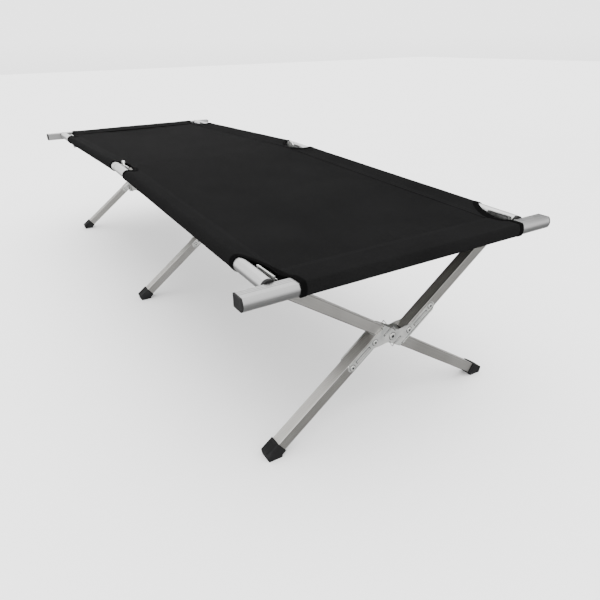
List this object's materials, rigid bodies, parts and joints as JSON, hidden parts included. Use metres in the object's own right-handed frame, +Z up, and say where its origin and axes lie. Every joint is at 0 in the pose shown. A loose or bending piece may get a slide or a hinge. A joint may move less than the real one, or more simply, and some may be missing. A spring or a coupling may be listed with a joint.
{
  "type": "folding camp cot",
  "caption": "Folding camp cot: taut black cover on hinged arched rails, scissor leg sets with offset plates, and slide-off end bars in the cover's end sleeves.",
  "frame": {"origin": "on the floor, below the middle of the cot's outline", "axes": "+X across the cot towards the right rail, +Y along the cot towards the rear end, +Z up"},
  "size_m": [0.727, 1.903, 0.4264],
  "materials": {
    "black_fabric": "matte",
    "satin_aluminium": "satin",
    "ribbed_aluminium": "satin",
    "plated_steel": "satin",
    "black_plastic": "matte",
    "black_rubber": "matte"
  },
  "bodies": {
    "rail_left_front": {"rail_left_front": "satin_aluminium", "rail_rivets_left_front": "plated_steel", "end_plug_left_front": "black_plastic", "hinge_leaf_left_front": "plated_steel", "mount_plate_left_front": "plated_steel", "mount_plate_left_middle": "plated_steel", "hinge_pin_left": "plated_steel", "cover_front": "black_fabric"},
    "rail_left_rear": {"rail_left_rear": "satin_aluminium", "rail_rivets_left_rear": "plated_steel", "end_plug_left_rear": "black_plastic", "hinge_leaf_left_rear": "plated_steel", "mount_plate_left_rear": "plated_steel", "cover_rear": "black_fabric"},
    "rail_right_front": {"rail_right_front": "satin_aluminium", "rail_rivets_right_front": "plated_steel", "end_plug_right_front": "black_plastic", "hinge_leaf_right_front": "plated_steel", "mount_plate_right_front": "plated_steel", "mount_plate_right_middle": "plated_steel", "hinge_pin_right": "plated_steel"},
    "rail_right_rear": {"rail_right_rear": "satin_aluminium", "rail_rivets_right_rear": "plated_steel", "end_plug_right_rear": "black_plastic", "hinge_leaf_right_rear": "plated_steel", "mount_plate_right_rear": "plated_steel"},
    "swivel_left_front": {"swivel_left_front": "plated_steel"},
    "swivel_left_middle": {"swivel_left_middle": "plated_steel"},
    "swivel_left_rear": {"swivel_left_rear": "plated_steel"},
    "swivel_right_front": {"swivel_right_front": "plated_steel"},
    "swivel_right_middle": {"swivel_right_middle": "plated_steel"},
    "swivel_right_rear": {"swivel_right_rear": "plated_steel"},
    "straight_front": {"straight_bar_front": "ribbed_aluminium", "boot_right_front": "black_rubber"},
    "split_front": {"split_bar_upper_front": "ribbed_aluminium", "split_bar_lower_front": "ribbed_aluminium", "z_plates_front": "plated_steel", "leg_rivets_front": "plated_steel", "boot_left_front": "black_rubber"},
    "straight_middle": {"straight_bar_middle": "ribbed_aluminium", "boot_right_middle": "black_rubber"},
    "split_middle": {"split_bar_upper_middle": "ribbed_aluminium", "split_bar_lower_middle": "ribbed_aluminium", "z_plates_middle": "plated_steel", "leg_rivets_middle": "plated_steel", "boot_left_middle": "black_rubber"},
    "straight_rear": {"straight_bar_rear": "ribbed_aluminium", "boot_right_rear": "black_rubber"},
    "split_rear": {"split_bar_upper_rear": "ribbed_aluminium", "split_bar_lower_rear": "ribbed_aluminium", "z_plates_rear": "plated_steel", "leg_rivets_rear": "plated_steel", "boot_left_rear": "black_rubber"},
    "end_bar_front": {"end_bar_front": "satin_aluminium", "end_caps_front": "black_plastic", "end_sleeve_front": "black_fabric"},
    "end_bar_rear": {"end_bar_rear": "satin_aluminium", "end_caps_rear": "black_plastic", "end_sleeve_rear": "black_fabric"}
  },
  "joints": [
    {"name": "swing_middle", "type": "hinge", "parent": "rail_left_front", "child": "swivel_left_middle", "pos_m": [-0.26433, -0.041, 0.358], "axis": [-1, 0, 0], "range_deg": [0, 79]},
    {"name": "fold_width", "type": "hinge", "parent": "swivel_left_middle", "child": "straight_middle", "pos_m": [-0.26433, -0.041, 0.358], "axis": [0, 1, 0], "range_deg": [0, 51.5], "deforming": ["cover_front", "cover_rear", "end_sleeve_front", "end_sleeve_rear"]},
    {"name": "split_turn_middle", "type": "hinge", "parent": "straight_middle", "child": "split_middle", "pos_m": [-0.009, -0.041, 0.189], "axis": [0, -1, 0], "range_deg": [0, 103]},
    {"name": "swing_front", "type": "hinge", "parent": "rail_left_front", "child": "swivel_left_front", "pos_m": [-0.26433, -0.88, 0.358], "axis": [1, 0, 0], "range_deg": [0, 90]},
    {"name": "straight_turn_front", "type": "hinge", "parent": "swivel_left_front", "child": "straight_front", "pos_m": [-0.26433, -0.88, 0.358], "axis": [0, 1, 0], "range_deg": [0, 51.5]},
    {"name": "split_turn_front", "type": "hinge", "parent": "straight_front", "child": "split_front", "pos_m": [-0.009, -0.88, 0.189], "axis": [0, -1, 0], "range_deg": [0, 103]},
    {"name": "swing_rear", "type": "hinge", "parent": "rail_left_rear", "child": "swivel_left_rear", "pos_m": [-0.26433, 0.798, 0.358], "axis": [-1, 0, 0], "range_deg": [0, 90]},
    {"name": "straight_turn_rear", "type": "hinge", "parent": "swivel_left_rear", "child": "straight_rear", "pos_m": [-0.26433, 0.798, 0.358], "axis": [0, 1, 0], "range_deg": [0, 51.5]},
    {"name": "split_turn_rear", "type": "hinge", "parent": "straight_rear", "child": "split_rear", "pos_m": [-0.009, 0.798, 0.189], "axis": [0, -1, 0], "range_deg": [0, 103]},
    {"name": "leg_top_turn_right_middle", "type": "hinge", "parent": "split_middle", "child": "swivel_right_middle", "pos_m": [0.24633, -0.041, 0.358], "axis": [0, 1, 0], "range_deg": [0, 51.5]},
    {"name": "rail_right_level", "type": "hinge", "parent": "swivel_right_middle", "child": "rail_right_front", "pos_m": [0.24633, -0.041, 0.358], "axis": [1, 0, 0], "range_deg": [0, 79]},
    {"name": "fold_half", "type": "hinge", "parent": "rail_left_front", "child": "rail_left_rear", "pos_m": [-0.281, 0, 0.4214], "axis": [1, 0, 0], "range_deg": [0, 183]},
    {"name": "fold_half_right", "type": "hinge", "parent": "rail_right_front", "child": "rail_right_rear", "pos_m": [0.281, 0, 0.4214], "axis": [1, 0, 0], "range_deg": [0, 183]},
    {"name": "swing_right_front", "type": "hinge", "parent": "rail_right_front", "child": "swivel_right_front", "pos_m": [0.24633, -0.88, 0.358], "axis": [1, 0, 0], "range_deg": [0, 90]},
    {"name": "swing_right_rear", "type": "hinge", "parent": "rail_right_rear", "child": "swivel_right_rear", "pos_m": [0.24633, 0.798, 0.358], "axis": [-1, 0, 0], "range_deg": [0, 90]},
    {"name": "slide_end_bar_front", "type": "slide", "parent": "rail_left_front", "child": "end_bar_front", "axis": [0, -1, 0], "range_m": [0, 0.015]},
    {"name": "slide_end_bar_rear", "type": "slide", "parent": "rail_left_rear", "child": "end_bar_rear", "axis": [0, 1, 0], "range_m": [0, 0.015]}
  ],
  "couplings": [
    {"joint": "split_turn_middle", "follows": "fold_width", "ratio": 2},
    {"joint": "straight_turn_front", "follows": "fold_width", "ratio": 1},
    {"joint": "split_turn_front", "follows": "fold_width", "ratio": 2},
    {"joint": "straight_turn_rear", "follows": "fold_width", "ratio": 1},
    {"joint": "split_turn_rear", "follows": "fold_width", "ratio": 2},
    {"joint": "leg_top_turn_right_middle", "follows": "fold_width", "ratio": 1},
    {"joint": "rail_right_level", "follows": "swing_middle", "ratio": 1},
    {"joint": "fold_half_right", "follows": "fold_half", "ratio": 1},
    {"joint": "swing_right_front", "follows": "swing_front", "ratio": 1},
    {"joint": "swing_right_rear", "follows": "swing_rear", "ratio": 1}
  ]
}
